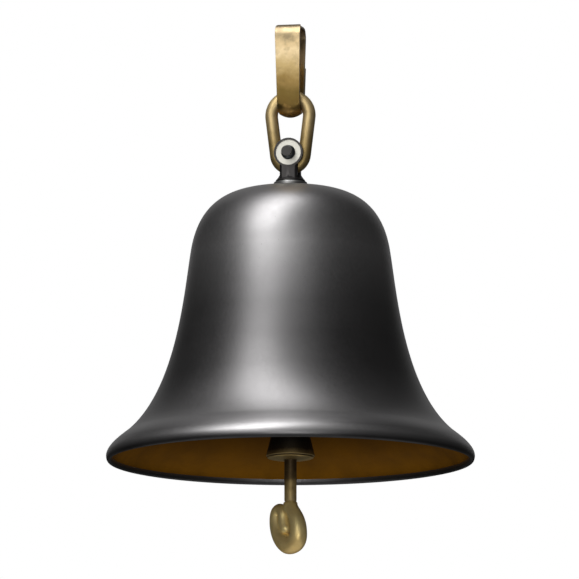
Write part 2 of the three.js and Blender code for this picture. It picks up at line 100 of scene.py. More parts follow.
RING_R = 4.6
RING_WIRE_R = 1.6
EYE_H = 91.4
SWING_H = 90.3
CLAPPER_LINK_R = 3.6
CLAPPER_LINK_LENGTH = 11.0
ROD_EYE_H = 78.2
ROD_R = 2.5
ROD_END_H = -16.2
ROD_SPIGOT_R = 1.4
ROD_SPIGOT_END_H = -19.4
WEIGHT_BORE_R = 2.8
WEIGHT_BOTTOM = (9.9, 2.2)  # radius, height
WEIGHT_TOP = (4.7, 24.2)

HOOK_YAW = math.radians(135.4)  # the free end points back and left
HOOK_STEM_R = 2.9  # collar that meets the end of the rod
HOOK_OUT = (-5.8, -28.2)  # outermost point of the loaded limb: across, height
HOOK_LOW = (-0.6, -33.8)  # lowest point of the centreline
HOOK_IN = (10.25, -21.4)  # top of the other limb
HOOK_CURL = (7.6, -21.4, 2.65)  # tight turn at the free end: across, height, radius
HOOK_TIP = (3.4, -27.2)
HOOK_WIRE_R = ((0, 2.6), (0.22, 3.4), (0.48, 4.1), (0.7, 2.65), (0.85, 2.4), (1, 2.6))

FLOOR_HALF = 12.0  # in metres
FLOOR_Z = -5.0
LIGHT_AIM_Z = -0.1


def up(h):
    return (h - SEAT_H) * MM


# ---- Curves ---------------------------------------------------------------


def arc(cx, cy, r, start, end, steps):
    turn = (end - start) / steps
    return [(cx + r * math.cos(start + turn * i), cy + r * math.sin(start + turn * i))
            for i in range(steps + 1)]


def cubic(p0, p1, p2, p3, steps):
    points = []
    for i in range(steps + 1):
        t = i / steps
        w = ((1 - t) ** 3, 3 * (1 - t) ** 2 * t, 3 * (1 - t) * t * t, t ** 3)
        points.append(tuple(sum(k * p[axis] for k, p in zip(w, (p0, p1, p2, p3)))
                            for axis in (0, 1)))
    return points


def offset(points, distance):
    moved = []
    for i, (x, y) in enumerate(points):
        a, b = points[max(i - 1, 0)], points[min(i + 1, len(points) - 1)]
        length = math.hypot(b[0] - a[0], b[1] - a[1])
        moved.append((x - distance * (b[1] - a[1]) / length,
                      y + distance * (b[0] - a[0]) / length))
    return moved


def smooth_line(points, rounds):
    """Corner cutting that keeps the two ends."""
    for _ in range(rounds):
        cut = [points[0]]
        for (ax, ay), (bx, by) in zip(points, points[1:]):
            cut.append((0.75 * ax + 0.25 * bx, 0.75 * ay + 0.25 * by))
            cut.append((0.25 * ax + 0.75 * bx, 0.25 * ay + 0.75 * by))
        cut.append(points[-1])
        points = cut
    return points


# ---- Meshes ---------------------------------------------------------------


def make(name, verts, faces, sharp=35.0):
    mesh = bpy.data.meshes.new(name)
    mesh.from_pydata(verts, [], faces)
    mesh.validate()
    mesh.update()
    soften(mesh, sharp)
    piece = bpy.data.objects.new(name, mesh)
    bpy.context.scene.collection.objects.link(piece)
    return piece


def soften(mesh, sharp):
    mesh.polygons.foreach_set("use_smooth", [True] * len(mesh.polygons))
    mesh.set_sharp_from_angle(angle=math.radians(sharp))


def turned(name, profile, segments, place, sharp=35.0):
    """A solid of revolution about Z from (radius, height) pairs, closed on itself."""
    count = len(profile)
    verts, faces = [], []
    for s in range(segments):
        a = 2 * math.pi * s / segments
        verts += [place @ Vector((r * math.cos(a), r * math.sin(a), h)) for r, h in profile]
    for s in range(segments):
        row, ahead = s * count, ((s + 1) % segments) * count
        for k in range(count):
            n = (k + 1) % count
            corners = [row + k, ahead + k, ahead + n, row + n]
            if profile[k][0] < 1e-6 and profile[n][0] < 1e-6:
                continue
            faces.append(corners)
    piece = make(name, verts, faces, sharp)
    weld(piece)
    return piece


def weld(piece):
    """Merges repeated points, such as those on a turned piece's axis, and faces it outwards."""
    bm = bmesh.new()
    bm.from_mesh(piece.data)
    bmesh.ops.remove_doubles(bm, verts=bm.verts, dist=1e-8)
    bmesh.ops.recalc_face_normals(bm, faces=bm.faces)
    bm.to_mesh(piece.data)
    bm.free()


def on_axis(h=0.0):
    """Places a piece turned in millimetres about Z, with heights above the mouth."""
    return Matrix.Translation((0, 0, up(h))) @ Matrix.Scale(MM, 4)


def along_y(h):
    """Places a piece turned about Z in millimetres so that its axis runs along +Y."""
    turn = Matrix.Rotation(math.radians(-90), 4, "X")
    return Matrix.Translation((0, 0, up(h))) @ turn @ Matrix.Scale(MM, 4)


def wire(name, line, radii, closed, sides=40, place=None):
    """A round wire whose centreline lies in the local XZ plane, in millimetres."""
    place = place or on_axis()
    count = len(line)
    verts, faces = [], []
    for i, (x, h) in enumerate(line):
        a = line[(i - 1) % count] if closed else line[max(i - 1, 0)]
        b = line[(i + 1) % count] if closed else line[min(i + 1, count - 1)]
        length = math.hypot(b[0] - a[0], b[1] - a[1])
        nx, nh = -(b[1] - a[1]) / length, (b[0] - a[0]) / length
        for k in range(sides):
            t = 2 * math.pi * k / sides
            side = radii[i] * math.cos(t)
            verts.append(place @ Vector((x + side * nx, radii[i] * math.sin(t), h + side * nh)))
    for i in range(count if closed else count - 1):
        row, ahead = i * sides, ((i + 1) % count) * sides
        for k in range(sides):
            n = (k + 1) % sides
            faces.append([row + k, ahead + k, ahead + n, row + n])
    if not closed:
        faces.append(list(range(sides)))
        faces.append([(count - 1) * sides + k for k in reversed(range(sides))])
    piece = make(name, verts, faces, 60)
    weld(piece)
    return piece


def pear(top, bottom, steps):
    slant = math.asin((bottom[1] - top[1]) / (top[0] - bottom[0]))
    upper = arc(0, top[0], top[1], slant, math.pi - slant, steps)
    lower = arc(0, bottom[0], bottom[1], math.pi - slant, 2 * math.pi + slant, steps)
    sides = 10

    def between(a, b):
        return [(a[0] + (b[0] - a[0]) * i / sides, a[1] + (b[1] - a[1]) * i / sides)
                for i in range(1, sides)]

    return upper + between(upper[-1], lower[0]) + lower + between(lower[-1], upper[0])


def joined(name, *parts):
    """Several closed meshes as one piece."""
    verts, faces = [], []
    for part in parts:
        start = len(verts)
        verts += [v.co.copy() for v in part.data.vertices]
        faces += [[start + i for i in p.vertices] for p in part.data.polygons]
        bpy.data.objects.remove(part)
    return make(name, verts, faces, 50)


def cut_by(piece, tool, operation="DIFFERENCE"):
    boolean = piece.modifiers.new("cut", "BOOLEAN")
    boolean.operation = operation
    boolean.solver = "EXACT"
    boolean.object = tool
    apply_modifiers(piece)
    bpy.data.objects.remove(tool)


def apply_modifiers(piece):
    depsgraph = bpy.context.evaluated_depsgraph_get()
    mesh = bpy.data.meshes.new_from_object(piece.evaluated_get(depsgraph))
    piece.modifiers.clear()
    piece.data = mesh


def round_edges(piece, width, segments, angle):
    bevel = piece.modifiers.new("edges", "BEVEL")
    bevel.width = width * MM
    bevel.segments = segments
    bevel.limit_method = "ANGLE"
    bevel.angle_limit = math.radians(angle)
    bevel.harden_normals = True


def block(name, x, y, h):
    corners = [(a, b, c) for a in x for b in y for c in h]
    faces = [[0, 1, 3, 2], [4, 6, 7, 5], [0, 4, 5, 1], [2, 3, 7, 6], [0, 2, 6, 4], [1, 5, 7, 3]]
    piece = make(name, [on_axis() @ Vector(c) for c in corners], faces)
    weld(piece)
    return piece


# ---- Node materials -------------------------------------------------------


class Finish:
    """A Principled material with object-space patterns measured in millimetres."""

    def __init__(self, name, metallic=1.0):
        self.material = bpy.data.materials.new(name)
        self.material.use_nodes = True
        self.nodes = self.material.node_tree.nodes
        self.links = self.material.node_tree.links
        self.shader = self.nodes["Principled BSDF"]
        self.shader.inputs["Metallic"].default_value = metallic
        self.at = self.nodes.new("ShaderNodeTexCoord").outputs["Object"]
        self.bumps = []

    def link(self, source, target):
        self.links.new(source, target)

    def scaled(self, x, y, z):
        """Stretches a pattern: a small scale draws it out along that axis."""
        node = self.nodes.new("ShaderNodeMapping")
        node.inputs["Scale"].default_value = (x, y, z)
        self.link(self.at, node.inputs["Vector"])
        return node.outputs["Vector"]

    def noise(self, size_mm, detail=4.0, roughness=0.55, vector=None):
        node = self.nodes.new("ShaderNodeTexNoise")
        node.inputs["Scale"].default_value = 1000.0 / size_mm
        node.inputs["Detail"].default_value = detail
        node.inputs["Roughness"].default_value = roughness
        self.link(vector or self.at, node.inputs["Vector"])
        return node.outputs["Fac"]

    def ramp(self, value, *stops):
        node = self.nodes.new("ShaderNodeValToRGB")
        elements = node.color_ramp.elements
        while len(elements) < len(stops):
            elements.new(0.5)
        for element, (position, colour) in zip(elements, stops):
            element.position = position
            grey = isinstance(colour, (int, float))
            element.color = (colour,) * 3 + (1,) if grey else (*colour, 1)
        self.link(value, node.inputs["Fac"])
        return node.outputs["Color"]

    def mix(self, factor, a, b):
        node = self.nodes.new("ShaderNodeMix")
        node.data_type = "RGBA"
        for socket, value in ((node.inputs[0], factor), (node.inputs[6], a), (node.inputs[7], b)):
            if isinstance(value, bpy.types.NodeSocket):
                self.link(value, socket)
            elif isinstance(value, (int, float)):
                socket.default_value = value
            else:
                socket.default_value = (*value, 1)
        return node.outputs[2]

    def maths(self, operation, a, b):
        node = self.nodes.new("ShaderNodeMath")
        node.operation = operation
        for socket, value in zip(node.inputs, (a, b)):
            if isinstance(value, bpy.types.NodeSocket):
                self.link(value, socket)
            else:
                socket.default_value = value
        return node.outputs[0]

    def height(self):
        """Z in the frame, in metres."""
        node = self.nodes.new("ShaderNodeSeparateXYZ")
        self.link(self.at, node.inputs[0])
        return node.outputs["Z"]

    def span(self, value, low, high):
        node = self.nodes.new("ShaderNodeMapRange")
        node.inputs["From Min"].default_value = low
        node.inputs["From Max"].default_value = high
        self.link(value, node.inputs["Value"])
        return node.outputs["Result"]

    def by_height(self, *stops, sway=None):
        """Colours at heights in millimetres above the mouth; sway shifts them, in metres."""
        low, high = stops[0][0], stops[-1][0]
        z = self.height()
        if sway is not None:
            z = self.maths("ADD", z, sway)
        placed = [((h - low) / (high - low), tone) for h, tone in stops]
        return self.ramp(self.span(z, up(low), up(high)), *placed)

    def edge_wear(self):
        """1 on convex edges, from how the surface is curved."""
        node = self.nodes.new("ShaderNodeNewGeometry")
        return self.ramp(node.outputs["Pointiness"], (0.5, 0.0), (0.6, 1.0))

    def bump(self, source, distance_mm, strength):
        node = self.nodes.new("ShaderNodeBump")
        node.inputs["Distance"].default_value = distance_mm * MM
        node.inputs["Strength"].default_value = strength
        self.link(source, node.inputs["Height"])
        if self.bumps:
            self.link(self.bumps[-1], node.inputs["Normal"])
        self.bumps.append(node.outputs["Normal"])
        self.link(node.outputs["Normal"], self.shader.inputs["Normal"])

    def colour(self, source):
        self.link(source, self.shader.inputs["Base Color"])

    def roughness(self, source):
        self.link(source, self.shader.inputs["Roughness"])


# Painted light on the outer plating: how bright it is painted at each height in millimetres, lighter where
# highlights fall on the lip bead and the upper body, darker as painted shade at the lip's edge and lower
# body
SHELL_PAINTED_LIGHT = ((0, 0.05), (1.2, 0.07), (2.4, 0.26), (4, 0.38), (6.5, 0.20), (10, 0.25), (16, 0.18),
               (23, 0.165), (34, 0.12), (47, 0.128), (60, 0.18), (72, 0.30), (85, 0.45), (94, 0.32),
               (103, 0.24))


def black_nickel():
    """The outside of the bell: satin plating over spun brass."""
    f = Finish("black_nickel_satin")
    cloud = f.noise(26, detail=5)
    fine = f.noise(1.1, detail=3)
    spin = f.noise(0.55, detail=3, vector=f.scaled(0.05, 0.05, 1.0))
    # painted light: the plating's tone changes with height to paint its highlights and shade
    painted_light_by_height = f.by_height(*((h, (v, 0.980 * v, 0.988 * v)) for h, v in SHELL_PAINTED_LIGHT))
    tone = f.mix(f.ramp(cloud, (0.3, 0.0), (0.7, 0.35)), painted_light_by_height, (0.17, 0.165, 0.167))
    specks = f.ramp(f.noise(0.9, detail=2), (0.70, 0.0), (0.78, 1.0))
    f.colour(f.mix(f.maths("MULTIPLY", specks, 0.3), tone, (0.07, 0.065, 0.065)))
    broad = f.ramp(cloud, (0.3, 0.40), (0.7, 0.46))
    grain = f.ramp(fine, (0.3, 0.38), (0.7, 0.47))
    f.roughness(f.mix(0.5, broad, grain))
    f.bump(spin, 0.010, 0.5)
    f.bump(cloud, 0.25, 0.2)
    return f.material


def inner_brass():
    """The inside of the bell: bare brass gone dark orange brown, with painted shade that darkens it going up
    from the lip.
    """
    f = Finish("inner_brass_dark", metallic=0.4)
    f.shader.inputs["Specular IOR Level"].default_value = 0.05
    cloud = f.noise(14, detail=6, roughness=0.6)
    spin = f.noise(0.8, detail=3, vector=f.scaled(0.04, 0.04, 1.0))
    # painted shade: brightest at the lip and darker higher up inside the bell
    tone = f.by_height((1, (0.36, 0.152, 0.008)), (12, (0.18, 0.073, 0.004)),
                       (24, (0.05, 0.020, 0.001)), (60, (0.07, 0.028, 0.002)))
    f.colour(f.mix(f.ramp(cloud, (0.3, 0.45), (0.7, 0.0)), tone, (0.05, 0.020, 0.003)))
    f.roughness(f.ramp(cloud, (0.3, 0.52), (0.7, 0.66)))
    f.bump(spin, 0.02, 0.5)
    return f.material


def aged_brass(name, *tones, rough=(0.34, 0.48), stain=0.25, metallic=1.0):
    """Satin brass whose tone changes with height to paint light and shade, with darker stains and worn
    edges.
    """
    f = Finish(name, metallic)
    cloud = f.noise(5.5, detail=3)
    fine = f.noise(1.6, detail=2)
    # painted light: the tones by height paint where each piece is lit or shaded
    tone = f.by_height(*tones, sway=f.maths("MULTIPLY", f.maths("SUBTRACT", cloud, 0.5), 0.012))
    patches = f.ramp(f.noise(2.6, detail=4), (0.52, 0.0), (0.74, 1.0))
    toned = f.mix(f.maths("MULTIPLY", patches, stain), tone, (0.10, 0.062, 0.022))
    f.colour(f.mix(f.maths("MULTIPLY", f.edge_wear(), 0.4), toned, tones[-1][1]))
    low, high = rough
    f.roughness(f.mix(0.5, f.ramp(cloud, (0.3, low), (0.7, high)), f.ramp(fine, (0.3, low), (0.7, high))))
    f.bump(cloud, 0.08, 0.35)
    f.bump(fine, 0.01, 0.35)
    return f.material


def steel(name, light, dark, rough):
    """Brushed steel, lighter where edges are worn."""
    f = Finish(name)
    cloud = f.noise(3.5, detail=5)
    brushed = f.noise(0.35, detail=2, vector=f.scaled(1.0, 1.0, 0.08))
    worn = tuple(min(1, 1.6 * c) for c in light)
    f.colour(f.mix(f.edge_wear(), f.ramp(cloud, (0.3, dark), (0.7, light)), worn))
    low, high = rough
    f.roughness(f.mix(0.5, f.ramp(cloud, (0.3, low), (0.7, high)), f.ramp(brushed, (0.3, low), (0.7, high))))
    f.bump(brushed, 0.02, 0.4)
    return f.material


def iron(name, *tones):
    """Blackened cast iron with a fine sand texture."""
    f = Finish(name, metallic=0.9)
    sand = f.noise(0.8, detail=4)
    cloud = f.noise(7, detail=4)
    # tones by height; for the weight these are painted light and shade
    tone = f.by_height(*tones, sway=f.maths("MULTIPLY", f.maths("SUBTRACT", cloud, 0.5), 0.004))
    f.colour(f.mix(f.maths("MULTIPLY", f.edge_wear(), 0.5), tone, (0.20, 0.17, 0.13)))
    f.roughness(f.ramp(sand, (0.3, 0.42), (0.7, 0.62)))
    f.bump(sand, 0.06, 0.5)
    return f.material


SHELL_FINISH = black_nickel()
INNER_FINISH = inner_brass()
# The strap's tones are painted light: painted highlights on the bottom curve and upper front, painted shade
# just above the bottom curve and at the top bend
STRAP_FINISH = aged_brass("strap_brass", (143.5, (0.60, 0.360, 0.110)), (147, (0.16, 0.100, 0.027)),
                          (151, (0.18, 0.120, 0.034)), (157, (0.31, 0.205, 0.070)),
                          (163, (0.55, 0.400, 0.180)), (169, (0.84, 0.660, 0.390)),
                          (172, (0.70, 0.530, 0.290)), (175, (0.36, 0.280, 0.160)),
                          (180, (0.26, 0.200, 0.125)))
# The link's tones are painted light: lighter on its upper part, painted shade towards the bottom
LINK_FINISH = aged_brass("link_brass", (119, (0.32, 0.230, 0.085)), (130, (0.40, 0.285, 0.110)),
                         (141, (0.72, 0.550, 0.280)), (153, (0.66, 0.500, 0.240)),
                         rough=(0.42, 0.55), metallic=0.85)
# The rod's tones are painted light: bright where it hangs below the mouth, painted shade where it runs up
# inside the bell
ROD_FINISH = aged_brass("rod_brass", (-17, (0.80, 0.620, 0.310)), (-11, (0.66, 0.490, 0.205)),
                        (-6, (0.20, 0.132, 0.046)), (-1, (0.060, 0.037, 0.014)), (12, (0.05, 0.030, 0.011)),
                        rough=(0.46, 0.60), metallic=0.7)
# The hook's tones are painted light: a painted highlight on its upper bend, a little darker towards the
# bottom
HOOK_FINISH = aged_brass("hook_brass", (-38, (1.00, 0.700, 0.260)), (-26, (1.00, 0.820, 0.380)),
                         (-15, (1.00, 0.780, 0.320)), rough=(0.38, 0.50), stain=0.12, metallic=0.55)
DISC_FINISH = aged_brass("disc_brass", (0, (0.50, 0.370, 0.150)), (3, (0.62, 0.460, 0.200)))
STEEL_FINISH = steel("blued_steel_dark", (0.040, 0.038, 0.037), (0.020, 0.019, 0.019), (0.40, 0.52))
PIN_FINISH = steel("pin_steel_slate", (0.110, 0.118, 0.125), (0.060, 0.065, 0.070), (0.36, 0.48))
FACE_FINISH = steel("polished_steel", (0.40, 0.39, 0.35), (0.30, 0.29, 0.26), (0.40, 0.50))
ZINC_FINISH = steel("dull_zinc", (0.26, 0.26, 0.255), (0.16, 0.16, 0.155), (0.38, 0.50))
IRON_FINISH = iron("blackened_iron", (0, (0.055, 0.046, 0.038)), (100, (0.045, 0.040, 0.036)))
# The weight's tones are painted light: a brass-coloured painted highlight along the lower rim, painted shade
# above it
WEIGHT_FINISH = iron("weight_iron", (2.4, (0.36, 0.260, 0.105)), (4.5, (0.045, 0.033, 0.017)),
                     (8, (0.016, 0.013, 0.010)), (24, (0.024, 0.020, 0.017)))


def dress(piece, body, slot, finish, *nodes):
    """Gives a piece its finish and body, and hides the CAD nodes that it stands in for."""
    piece.data.materials.clear()
    piece.data.materials.append(finish)
    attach(piece, body)
    if nodes:
        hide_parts(*nodes)
    return piece


# ---- Bell shell -----------------------------------------------------------


def bell_shell():
    dome = cubic((CROWN_FLAT_R, CROWN_H), (26.5, CROWN_H), (37.64, 105.8), WAIST, 48)
    flare = cubic(WAIST, (43.48, 69.25), (46.43, 29.45), CREASE, 72)
    bead = cubic(CREASE, (68.4, 10.4), (MOUTH_R, 6.2), (MOUTH_R, LIP_EDGE_H), 28)
    outside = dome + flare[1:] + bead[1:]
    inside = offset(outside, -SHELL_T)
    inside[0] = (CROWN_FLAT_R, CROWN_H - SHELL_T)
    edge = cubic((MOUTH_R, LIP_EDGE_H), (MOUTH_R, -0.6), (MOUTH_R - SHELL_T, -0.6), inside[-1], 14)[1:-1]
    profile = [(3.3, CROWN_H)] + outside + edge + inside[::-1] + [(3.3, CROWN_H - SHELL_T)]
    piece = turned("bell_shell_spun", profile, 240, on_axis(), 30)
    dress(piece, "bell", "gunmetal", SHELL_FINISH, "bell_shell")
    piece.data.materials.append(INNER_FINISH)
    for face in piece.data.polygons:
        face.material_index = 1 if is_inside(face) else 0
    return piece


def is_inside(face):
    """True for the inner wall above the lacquer's edge."""
    outward = Vector((face.center.x, face.center.y, 0)).normalized()
    facing_in = face.normal.dot(outward) < 0 or face.normal.z < -0.3
    return facing_in and face.center.z > up(LACQUER_TURN_IN_H)


# ---- Strap and link -------------------------------------------------------

TOP_BEND_H = SEAT_H + STRAP_T / 2 - STRAP_TOP_R
BOTTOM_BEND_H = STRAP_TROUGH_H + STRAP_TROUGH_R
STRAP_BOTTOM_R = STRAP_TROUGH_R + STRAP_T / 2
RISE = TOP_BEND_H - BOTTOM_BEND_H
LEAN = math.asin((STRAP_BOTTOM_R - STRAP_TOP_R) / math.hypot(STRAP_SEAT_HALF, RISE))
LEAN -= math.atan2(STRAP_SEAT_HALF, RISE)


def on_back_leg(h, out=0.0):
    """A point on the strap's back leg, or a given distance outside it."""
    foot_y = STRAP_SEAT_HALF + STRAP_TOP_R * math.cos(LEAN)
    foot_h = TOP_BEND_H + STRAP_TOP_R * math.sin(LEAN)
    y = foot_y + (foot_h - h) * math.tan(LEAN)
    return (y + out * math.cos(LEAN), h + out * math.sin(LEAN))


def strap_line():
    jog = [(148.4, 0.0), (149.2, 0.3), (150.4, LAP_OFFSET - 0.3), (151.2, LAP_OFFSET)]
    jog = smooth_line([on_back_leg(h, out) for h, out in jog], 2)
    return [
        on_back_leg(LAP_START_H),
        *arc(STRAP_SEAT_HALF, TOP_BEND_H, STRAP_TOP_R, LEAN, math.pi / 2, 20),
        *arc(-STRAP_SEAT_HALF, TOP_BEND_H, STRAP_TOP_R, math.pi / 2, math.pi - LEAN, 20),
        *[(-y, h) for y, h in (on_back_leg(k) for k in (169, 163, 157, 153, 150, 148.4))],
        *arc(0, BOTTOM_BEND_H, STRAP_BOTTOM_R, math.pi - LEAN, 2 * math.pi + LEAN, 40),
        *jog,
        *[on_back_leg(h, LAP_OFFSET) for h in (154, 157, 160, LAP_END_H)],
    ]


def strap_half_width(h):
    """Half the strip's width: tapered downwards, with rounded corners at the top bend."""
    top, bottom = STRAP_TAPER
    down = min(max((top - h) / (top - bottom), 0), 1)
    half = (STRAP_TOP_W + (STRAP_BOTTOM_W - STRAP_TOP_W) * down) / 2
    into_corner = min(max(h - (SEAT_H + STRAP_T - CORNER_R), 0), CORNER_R)
    return half - (CORNER_R - math.sqrt(CORNER_R ** 2 - into_corner ** 2))


def strap_curl(h, across):
    """How far the strip is lifted at a place across it, from -1 to 1."""
    low, high = STRAP_CURL
    t = min(max((h - low) / (high - low), 0), 1)
    fade = 1 - t * t * (3 - 2 * t)
    return STRAP_TROUGH_RISE * fade * across * across


def hanger_strap():
    line = strap_line()
    half_thick = STRAP_T / 2 - SKIN
    outline = offset(line, half_thick) + offset(line, -half_thick)[::-1]
    count, slices = len(outline), 25
    verts, faces = [], []
    for s in range(slices):
        across = 2 * s / (slices - 1) - 1
        for y, h in outline:
            lifted = h + strap_curl(h, across)
            verts.append((across * strap_half_width(h) * MM, y * MM, up(lifted)))
    for s in range(slices - 1):
        for k in range(count):
            n = (k + 1) % count
            faces.append([s * count + k, (s + 1) * count + k, (s + 1) * count + n, s * count + n])
    half_count = count // 2
    for k in range(half_count - 1):
        quad = [k, k + 1, count - 2 - k, count - 1 - k]
        faces.append(quad)
        faces.append([(slices - 1) * count + i for i in reversed(quad)])
    piece = make("strap_strip", verts, faces, 40)
    weld(piece)
    round_edges(piece, 0.32, 3, 50)
    return dress(piece, "strap", "aged_brass", STRAP_FINISH, "hanger_strap")


def suspension_link():
    line = pear(LINK_TOP, LINK_BOTTOM, 48)
    piece = wire("link_wire", line, [LINK_R] * len(line), True, 40)
    return dress(piece, "link", "aged_brass", LINK_FINISH, "suspension_link")


# ---- Clevis and pin -------------------------------------------------------


def crown_clevis():
    foot = [(0, FOOT_H), (5.8, FOOT_H), (6, FOOT_H + 0.2), (6, FOOT_H + 0.5)]
    foot += cubic((5.9, FOOT_H + 0.6), (4.8, FOOT_H + 1.7), (4.1, FOOT_H + 3), (3.7, FOOT_H + 5.4), 12)
    foot += [(0, FOOT_H + 5.4)]
    body = turned("clevis_forged", foot, 96, on_axis())
    neck = block("neck", (-NECK_HALF, NECK_HALF), (-CHEEK_OUT, CHEEK_OUT), (FOOT_H + 0.9, PIN_H))
    neck_round = [(0, FOOT_H), (NECK_R, FOOT_H), (NECK_R, PIN_H), (0, PIN_H)]
    cut_by(neck, turned("neck_round", neck_round, 96, on_axis()), "INTERSECT")
    cut_by(body, neck, "UNION")
    nose = [(0, -CHEEK_OUT), (CHEEK_R, -CHEEK_OUT), (CHEEK_R, CHEEK_OUT), (0, CHEEK_OUT)]
    cut_by(body, turned("nose", nose, 96, along_y(PIN_H)), "UNION")
    cut_by(body, block("slot", (-9, 9), (-SLOT_HALF, SLOT_HALF), (SLOT_FLOOR_H, PIN_H + 10)))
    bore = [(0, -9), (PIN_HOLE_R, -9), (PIN_HOLE_R, 9), (0, 9)]
    cut_by(body, turned("bore", bore, 48, along_y(PIN_H)))
    pocket_y = POCKET_DEPTH - CHEEK_OUT
    pocket = [(0, -7), (POCKET_R, -7), (POCKET_R, pocket_y), (0, pocket_y)]
    cut_by(body, turned("pocket", pocket, 96, along_y(PIN_H)))
    soften(body.data, 35)
    round_edges(body, 0.22, 3, 35)
    dress(body, "bell", "blued_steel", STEEL_FINISH, "crown_clevis")
    polish_pocket(body)
    return body


def polish_pocket(clevis):
    """Gives the floor of the pocket round the pin head a bright face."""
    clevis.data.materials.append(FACE_FINISH)
    for face in clevis.data.polygons:
        centre = face.center
        reach = math.hypot(centre.x, centre.z - up(PIN_H))
        front = face.normal.y < -0.9 and centre.y < (0.6 - CHEEK_OUT) * MM
        face.material_index = 1 if front and reach < (POCKET_R + 0.05) * MM else 0


def crown_stud():
    top = FOOT_H + 0.2
    profile = [(0, STUD_END_H), (STUD_R - 0.5, STUD_END_H), (STUD_R, STUD_END_H + 0.5),
               (STUD_R, top), (0, top)]
    piece = turned("crown_stud", profile, 48, on_axis())
    return dress(piece, "bell", "blued_steel", ZINC_FINISH)


def clevis_pin():
    head = 0.05 - CHEEK_OUT
    profile = arc(0, head, PIN_HEAD_R, -math.pi / 2, 0, 18)
    profile = [(r, head + (y - head) * 0.64) for r, y in profile]
    profile += [(PIN_R, head), (PIN_R, 8), (1.4, 8.4), (0, 8.4)]
    piece = turned("pin_domed", profile, 64, along_y(PIN_H))
    round_edges(piece, 0.15, 2, 50)
    return dress(piece, "bell", "blued_steel", PIN_FINISH, "clevis_pin")


# ---- Clapper --------------------------------------------------------------


def ring(name, h):
    line = arc(0, h, RING_R, 0, 2 * math.pi, 72)[:-1]
    return wire(name, line, [RING_WIRE_R] * len(line), True, 28)


def clapper_eye_nut():
    base = EYE_H + RING_R + RING_WIRE_R - 0.8
    top = EYE_NUT_TOP_H
    profile = [(0, base - 0.6), (2.4, base - 0.4), (4.4, base + 0.8), (5, base + 1.6), (5, top - 0.4),
               (4.6, top), (3.3, top), (3.3, STUD_END_H - 0.3), (0, STUD_END_H - 0.3)]
    piece = joined("eye_nut_turned", turned("nut", profile, 64, on_axis()), ring("fixed_eye", EYE_H))
    return dress(piece, "bell", "dark_iron", IRON_FINISH, "clapper_eye_nut")


def clapper_link():
    top = (SWING_H - CLAPPER_LINK_R, CLAPPER_LINK_R)
    bottom = (SWING_H - CLAPPER_LINK_LENGTH + CLAPPER_LINK_R, CLAPPER_LINK_R)
    line = pear(top, bottom, 32)
    place = on_axis() @ Matrix.Rotation(math.pi / 2, 4, "Z")
    piece = wire("clapper_link_wire", line, [RING_WIRE_R] * len(line), True, 28, place)
    return dress(piece, "clapper_ring", "dark_iron", IRON_FINISH, "clapper_link")


def clapper_rod():
    top = ROD_EYE_H - RING_R - 0.6
    profile = [(0, ROD_SPIGOT_END_H), (ROD_SPIGOT_R, ROD_SPIGOT_END_H), (ROD_SPIGOT_R, ROD_END_H),
               (ROD_R - 0.15, ROD_END_H), (ROD_R, ROD_END_H + 0.25),
               (ROD_R, top - 1.5), (1.8, top), (0, top)]
    piece = joined("rod_turned", turned("rod", profile, 64, on_axis()), ring("rod_eye", ROD_EYE_H))
    return dress(piece, "clapper", "aged_brass", ROD_FINISH, "clapper_rod")


def clapper_weight():
    (r0, h0), (r1, h1) = WEIGHT_BOTTOM, WEIGHT_TOP
    profile = [(WEIGHT_BORE_R, h0), (r0 - 0.45, h0)] + arc(r0 - 0.4, h0 + 0.4, 0.4, -math.pi / 2, 0.2, 6)
    profile += [(r1, h1 - 0.5)] + arc(r1 - 0.4, h1 - 0.4, 0.4, 0.2, math.pi / 2, 6)
    profile += [(WEIGHT_BORE_R, h1)]
    piece = turned("weight_cone", profile, 96, on_axis())
    return dress(piece, "clapper", "dark_iron", WEIGHT_FINISH, "clapper_weight")


def weight_disc():
    top = WEIGHT_BOTTOM[1] - 0.3
    profile = [(WEIGHT_BORE_R, top), (9.2, top), (9.4, top - 0.2)]
    profile += cubic((9.3, top - 0.35), (8.2, top - 0.8), (5.6, top - 1.15), (3.2, top - 1.15), 16)
    profile += [(WEIGHT_BORE_R, top - 1.1)]
    piece = turned("disc_turned", profile, 96, on_axis())
    return dress(piece, "clapper", "bright_brass", DISC_FINISH, "weight_retainer_disc")


def hook_line():
    curl_u, curl_h, curl_r = HOOK_CURL
    return (cubic((0, ROD_END_H - 0.3), (0, -20.2), (-5.4, -22.3), HOOK_OUT, 32)
            + cubic(HOOK_OUT, (-6.2, -32.4), (-4.2, HOOK_LOW[1]), HOOK_LOW, 32)[1:]
            + cubic(HOOK_LOW, (4.4, HOOK_LOW[1]), (10.4, -28.4), HOOK_IN, 36)[1:]
            + arc(curl_u, curl_h, curl_r, 0, math.pi, 36)[1:]
            + cubic((curl_u - curl_r, curl_h), (4.95, -23.2), (4.4, -25.2), HOOK_TIP, 8)[1:])


def hook_radii(line):
    """Thickest at the low bend, thinnest round the curl."""
    radii = []
    for i in range(len(line)):
        t = i / (len(line) - 1)
        k = next(n for n, (at, _) in enumerate(HOOK_WIRE_R) if at >= t and n > 0)
        (t0, r0), (t1, r1) = HOOK_WIRE_R[k - 1], HOOK_WIRE_R[k]
        radii.append(r0 + (r1 - r0) * (t - t0) / (t1 - t0))
    return radii


